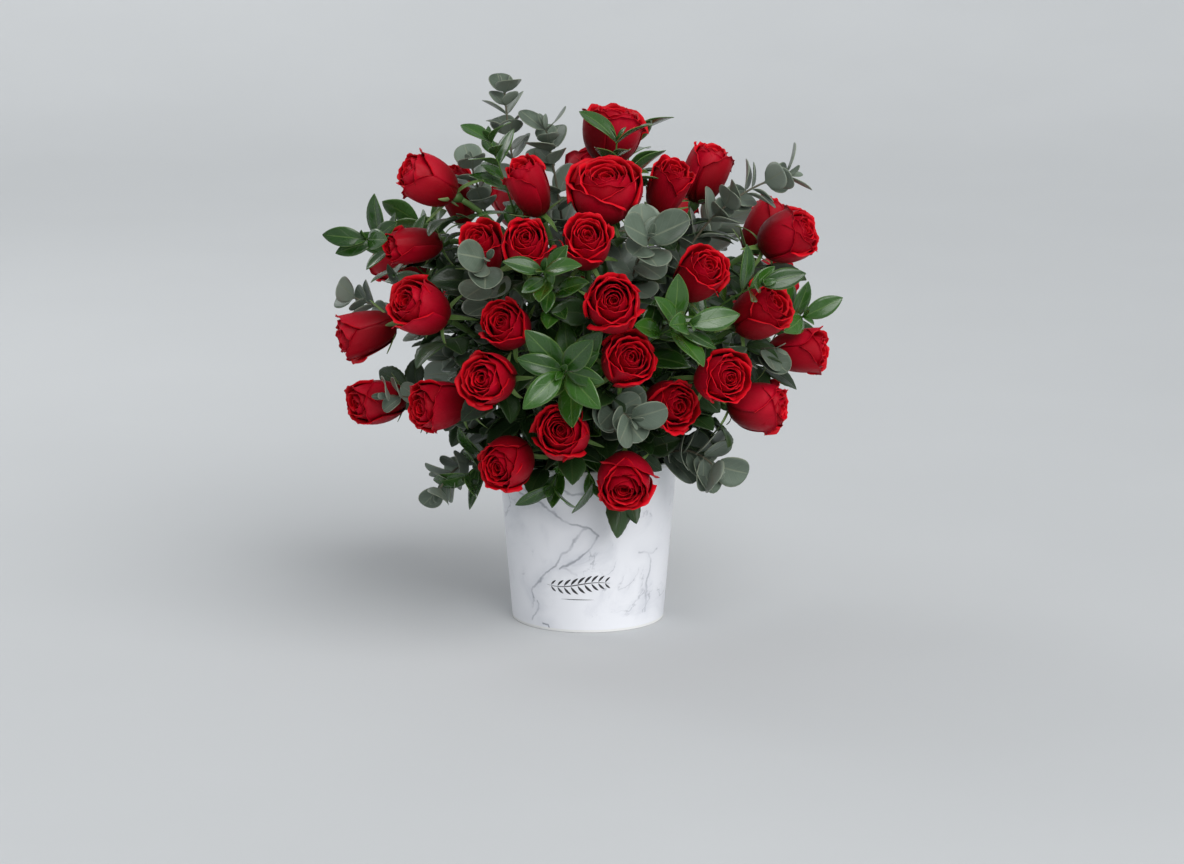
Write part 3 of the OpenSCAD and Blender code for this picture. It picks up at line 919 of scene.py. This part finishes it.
def add_hip_and_sepals(pile, rose, rng):
    """The green hip under a bloom and its five sepals, some of which hug a bud."""
    add_lathe(pile, rose.neck, rose.axis, HIP, tone=0.6)
    x, y = square_to(rose.axis)
    start = rng.uniform(0, tau)
    bud = rose.d < 0.044
    for k in range(5):
        a = start + k * tau / 5 + rng.uniform(-0.15, 0.15)
        out = cos(a) * x + sin(a) * y
        base = rose.neck + 0.0078 * rose.axis + 0.0040 * out
        length = rng.uniform(0.020, 0.029)
        rise = rng.uniform(0.35, 0.75) if bud and rng.random() < 0.6 else rng.uniform(-0.35, 0.25)
        along = unit(out + rise * rose.axis)
        normal = part_square(rose.axis, along)
        bend = rng.uniform(-0.5, 0.2) if rise > 0.3 else rng.uniform(0.3, 1.6)
        twist = rng.normal(0, 0.4)
        grid, s, v = leaf_grid(base, along, normal, length, sepal_width, 11, 5, 0.25, bend, 0.0, twist)
        add_shell(pile, grid, 0.0004, 1, along=s, across=v, tone=rng.uniform(0, 1))


def add_thorns(pile, rose, rng):
    for distance in np.arange(0.022, rose.stem.length - STEM_BOTTOM, 0.026):
        p, t = rose.stem.back(distance + rng.uniform(-0.006, 0.006))
        if p[2] < FOAM.z + 0.006 or (hypot(p[0], p[1]) < RIM.x and p[2] < RIM.z):
            continue
        out = turned(square_to(t)[0], t, rng.uniform(0, tau))
        add_lathe(pile, p, unit(out - 0.35 * t), THORN, sides=7, tone=0.9)


def add_rose_leaves(pile, rose, index, rng):
    """Compound leaves where the stem is clear of its neighbours."""
    placed = 0
    distance = 0.024
    while distance < rose.stem.length - STEM_BOTTOM and placed < MOST_LEAVES:
        p, t = rose.stem.back(distance)
        best = None
        for roll in np.arange(8) * tau / 8 + rng.uniform(0, 1):
            out = turned(square_to(t)[0], t, roll)
            for spread in (0.75, 1.15):
                along = unit(cos(spread) * t + sin(spread) * out)
                tip = p + COMPOUND_REACH * along
                normal = part_square(t, along)
                probes = [p + k * along for k in (0.012, 0.03, 0.045, COMPOUND_REACH)]
                side = np.cross(along, normal)
                probes += [p + 0.032 * along + k * side for k in (-0.022, 0.022)]
                within = abs(tip[0]) < 0.20 and -0.21 < tip[1] < 0.19
                if has_room(probes, own=index) and within:
                    score = tip[2] * 0.2 + norm(tip[:2]) + rng.uniform(0, 0.02)
                    if best is None or score > best[0]:
                        best = (score, along, normal, side)
        if best is not None:
            add_compound_leaf(pile, p, *best[1:], rng)
            placed += 1
        distance += LEAF_GAP


def add_compound_leaf(pile, p, along, normal, side, rng):
    """A stalk with one toothed leaf at its end and one at each side."""
    length = rng.uniform(0.032, 0.042)
    path = [p + k * along for k in np.linspace(0.001, PETIOLE + 0.004, 6)]
    add_tube(pile, path, np.linspace(0.0010, 0.0006, 6), sides=6, tone=0.5)
    add_leaf(pile, p + PETIOLE * along, along, normal, length, 0.64 * length, "rose", rng, 2)
    fork = p + 0.72 * PETIOLE * along
    for sign in (-1, 1):
        direction = unit(0.55 * along + sign * side)
        add_leaf(pile, fork, direction, normal, 0.8 * length, 0.52 * length, "rose", rng, 2)


def add_hanging_leaves(pile, rose, rng):
    """A pair of leaves on one stalk that hangs down behind a bloom, undersides to the front."""
    stalk_end = rose.neck + np.array([0.0, -0.004, -0.016])
    add_tube(pile, [rose.neck, stalk_end], [0.0010, 0.0008], sides=6, tone=0.5)
    for lean, length in ((-0.14, 0.050), (0.30, 0.037)):
        along = unit(np.array([lean, -0.15, -1.0]))
        normal = part_square(np.array([0.0, 1.0, 0.0]), along)
        add_leaf(pile, stalk_end, along, normal, length, 0.46 * length, "rose", rng, 2)


def make_rose(rose, index):
    rng = np.random.default_rng(ROSE_SEED + index)
    pile = Pile()
    add_bloom(pile, rose, rng)
    bloom = pile.make(rose.node + "_bloom", [PETAL])
    pile = Pile()
    add_tube(pile, rose.stem.points, ROSE_STEM_R, sides=12, tone=0.3)
    add_hip_and_sepals(pile, rose, rng)
    add_thorns(pile, rose, rng)
    add_rose_leaves(pile, rose, index, rng)
    if rose.node == LOWEST_FRONT_ROSE:
        add_hanging_leaves(pile, rose, rng)
    stem = pile.make(rose.node + "_stem", [ROSE_STEM, SEPAL, ROSE_LEAF])
    for piece in (bloom, stem):
        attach(piece, "arrangement")
        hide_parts(rose.node)


# --- sprigs ---

TIP_LEAF = 0.014  # length of the leaves at a sprig's tip
SPRIG_BOTTOM = 0.012  # part of a sprig's stem without leaves
FIRST_PAIR = 0.003  # how near to the tip a pair can be


def try_leaf(pile, p, along, normal, lengths, ratio, kind, rng):
    """Adds a leaf of the first length that has room."""
    side = np.cross(along, normal)
    for length in lengths:
        probes = [p + k * length * along for k in (0.3, 0.65, 1.0)]
        probes += [p + 0.55 * length * along + k * length * ratio * side for k in (-0.45, 0.45)]
        if has_room(probes):
            add_leaf(pile, p, along, normal, length, ratio * length, kind, rng, 1)
            return


def sprig_leaves(pile, sprig, kind, spacing, angle, ratio, rng):
    """The CAD model's leaves, grown where there is room, and more pairs between and below them."""
    distance, across = FIRST_PAIR, square_to(sprig.stem.back(FIRST_PAIR)[1])[0]
    largest = max(leaf.length for leaf in sprig.leaves)
    for leaf in sprig.leaves:
        grown = (0.4 * leaf.length + 0.6 * largest) * rng.uniform(1.02, 1.14)
        try_leaf(pile, leaf.base, leaf.along, leaf.normal, (grown, leaf.length), ratio, kind, rng)
        gap = norm(leaf.base - sprig.stem.points[-1])
        if gap > distance:
            distance, across = gap, leaf.side
    between = np.arange(FIRST_PAIR + spacing / 2, distance, spacing)
    below = np.arange(distance + spacing, sprig.stem.length - SPRIG_BOTTOM, 0.75 * spacing)
    for step in (*between, *below):
        p, t = sprig.stem.back(step)
        across = part_square(across, t)
        roll, share = (45, 0.8) if step < distance else (90, 1.0)
        across = turned(across, t, radians(roll) + rng.normal(0, 0.2))
        for sign in (-1, 1):
            spread = angle * rng.uniform(0.9, 1.25)
            along = unit(cos(spread) * t + sign * sin(spread) * across)
            normal = part_square(t, along)
            length = share * largest * rng.uniform(0.9, 1.1)
            try_leaf(pile, p, along, normal, (length, 0.75 * length), ratio, kind, rng)


def add_tip_bud(pile, sprig, kind, rng):
    """A pair of small new leaves closed over the stem's end."""
    p, t = sprig.stem.back(0.0)
    across = turned(square_to(t)[0], t, rng.uniform(0, tau))
    for sign in (-1, 1):
        along = unit(t + 0.35 * sign * across)
        normal = part_square(t, along)
        add_leaf(pile, p, along, normal, TIP_LEAF, 0.42 * TIP_LEAF, kind, rng, 1)


def make_sprigs(node, sprigs, kind, spacing, angle, ratio, materials, seed):
    """The piece that replaces a CAD node. ratio is a leaf's width over its length."""
    rng = np.random.default_rng(seed)
    pile = Pile()
    for sprig in sprigs:
        radii = sprig.stem_r * np.linspace(1.0, 0.55, len(sprig.stem.points))
        add_tube(pile, sprig.stem.points, radii, sides=8, tone=0.5)
        sprig_leaves(pile, sprig, kind, spacing, angle, ratio, rng)
        add_tip_bud(pile, sprig, kind, rng)
    piece = pile.make(node + "_sprigs", materials)
    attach(piece, "arrangement")
    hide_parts(node)


# --- the box ---


ORNAMENT_X = -0.009  # off the middle of the front, as arc length
ORNAMENT_Z = 0.0425
ORNAMENT_HALF = 0.028  # half its length
ORNAMENT_LEAF = 0.0100  # length of its largest leaves
WAVE_H = 0.0022  # height of its stem's wave
LINE_DROP = 0.0130  # distance of the thin line below its stem
INK_T = 0.00008


def wrap_ends():
    """Heights and outer radii of the printed wrap's two ends."""
    points, _ = triangles_of("marble_wrap")
    r, z = np.hypot(points[:, 0], points[:, 1]), points[:, 2]
    heights = [z.min(), z.max()]
    return heights, [r[abs(z - end) < 1e-4].max() for end in heights]


WRAP_HEIGHTS, WRAP_RADII = wrap_ends()


def on_wrap(x, z, lift):
    """A point lifted off the wrap's front: arc length x from the ornament's middle, height z."""
    r = np.interp(z, WRAP_HEIGHTS, WRAP_RADII) + lift
    a = (x + ORNAMENT_X) / r
    return [r * sin(a), -r * cos(a), z]


def add_stroke(pile, line, widths):
    """A flat printed stroke along line, points (x, z) on the wrap, with a half-width at each."""
    line = np.asarray(line, float)
    slope = np.gradient(line, axis=0)
    slope /= norm(slope, axis=1, keepdims=True)
    square = np.stack([-slope[:, 1], slope[:, 0]], axis=1)
    flat = [at + k * w * out for at, out, w in zip(line, square, widths) for k in (-1, 0, 1)]
    points = [on_wrap(x, z, lift) for lift in (INK_T, 0.0) for x, z in flat]
    pile.add(points, shell_faces(len(line), 3))


def make_ornament():
    """A printed leaf sprig, a waving stem with smaller leaves towards its ends, over a thin line."""
    pile = Pile()

    def wave(t):
        return ORNAMENT_HALF * t, ORNAMENT_Z + WAVE_H * np.sin(2.6 * t)

    t = np.linspace(-1, 1, 41)
    add_stroke(pile, np.stack(wave(t), axis=1), 0.00038 * (1.1 - t**2))
    for k in np.linspace(-0.84, 0.84, 9):
        x0, z0 = wave(k)
        reach = ORNAMENT_LEAF * (1 - 0.45 * k * k)
        s = np.linspace(0, 1, 12)
        for sign in (-1, 1):
            a = sign * radians(62) * (1 - 0.5 * s)
            x = x0 + np.cumsum(np.cos(a)) * reach / len(s)
            z = z0 + np.cumsum(np.sin(a)) * reach / len(s)
            widths = 0.0010 * np.sin(pi * s) ** 0.8 * (1 - 0.4 * k * k) + 0.00006
            add_stroke(pile, np.stack([x, z], axis=1), widths)
    t = np.linspace(-0.5, 0.5, 21)
    line = [(ORNAMENT_HALF * k, ORNAMENT_Z - LINE_DROP) for k in t]
    add_stroke(pile, line, 0.00030 * (1 - 3.6 * t**2))
    ornament = pile.make("printed_sprig", [INK])
    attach(ornament, "box")


CAD_LOOKS = {
    "box_base": BOARD, "box_wall": BOARD, "rim_bead": BOARD, "marble_wrap": MARBLE,
    "liner_pot": PLASTIC, "pin_holder": PLASTIC, "foam_brick": FOAM_WET,
}


def dress_cad_nodes():
    for name, material in CAD_LOOKS.items():
        slots = NODES[name].data.materials
        slots.clear()
        slots.append(material)


# --- stage ---

LIT_POINT = Vector((0, 0, 0.28))  # what the lights point at
CAMERA_PLACE = (0.0035, -2.7026, 0.6866)
CAMERA_DOWN = 11  # degrees below level
LENS_MM = 97.3
SENSOR_MM = 36.0


def make_stage(name, profile):
    """A surface of revolution round the Z axis that stands for the room."""
    sides = 96
    circle = ring(np.array([1.0, 0, 0]), np.array([0, 1.0, 0]), sides)
    pile = Pile()
    points = np.concatenate([r * circle + z * UP for r, z in profile])
    pile.add(points, grid_faces(len(profile), sides, flip=True, wrap=True))
    stage = pile.make(name, [FLOOR])
    return stage


def make_floor():
    """A pale round floor, and a backdrop that curves up from it all round and lets the light in."""
    floor_r, flat_r, bend, wall = 3.0, 3.8, 2.6, 1.4
    make_stage("floor", [(0.001, 0.0), (1.0, 0.0), (2.0, 0.0), (floor_r, 0.0)])
    profile = [(floor_r, 0.0)]
    for a in np.linspace(0, pi / 2, 14):
        profile.append((flat_r + bend * sin(a), bend * (1 - cos(a))))
    profile.append((flat_r + bend, bend + wall))
    backdrop = make_stage("backdrop", profile)
    backdrop.visible_shadow = False


def add_light(kind, name, place, power, **settings):
    data = bpy.data.lights.new(name, kind)
    data.energy = power
    for key, value in settings.items():
        setattr(data, key, value)
    light = new_object(name, data)
    light.location = place
    light.rotation_euler = (LIT_POINT - Vector(place)).to_track_quat("-Z", "Y").to_euler()


def light_scene():
    """A pale even sky, a soft sun from the front right, and two weak lights."""
    world = bpy.data.worlds.new("soft studio")
    world.use_nodes = True
    sky = world.node_tree.nodes["Background"]
    sky.inputs["Color"].default_value = (0.94, 0.97, 1.0, 1)
    sky.inputs["Strength"].default_value = 0.45
    bpy.context.scene.world = world
    add_light("SUN", "key", (2.0, -2.6, 3.2), 2.05, angle=1.0)
    add_light("AREA", "front", (0.8, -2.5, 1.4), 17, shape="DISK", size=1.4)
    add_light("AREA", "rim", (-1.6, 1.4, 1.8), 10, shape="DISK", size=1.2)
    bpy.context.scene.view_settings.view_transform = "Standard"


def make_camera():
    data = bpy.data.cameras.new("camera")
    data.lens = LENS_MM
    data.sensor_width = SENSOR_MM
    camera = new_object("camera", data)
    camera.location = CAMERA_PLACE
    camera.rotation_euler = (radians(90 - CAMERA_DOWN), 0, 0)
    bpy.context.scene.camera = camera


# --- putting it together ---

# Kind, CAD nodes, distance between pairs of leaves, their spread in degrees, a leaf's width over its
# length, materials, and the first node's seed.
SPRIG_KINDS = [
    ("eucalyptus", EUCALYPTUS, 0.019, 50, 0.86, [EUCALYPTUS_STEM, EUCALYPTUS_LEAF], 2000),
    ("ruscus", RUSCUS, 0.021, 48, 0.44, [RUSCUS_STEM, RUSCUS_LEAF], 3000),
]

make_camera()
dress_cad_nodes()
make_ornament()
for number, rose in enumerate(ROSES):
    make_rose(rose, number)
for kind, nodes, spacing, spread, ratio, materials, seed in SPRIG_KINDS:
    for number, (node, sprigs) in enumerate(nodes.items()):
        make_sprigs(node, sprigs, kind, spacing, radians(spread), ratio, materials, seed + number)
make_floor()
light_scene()
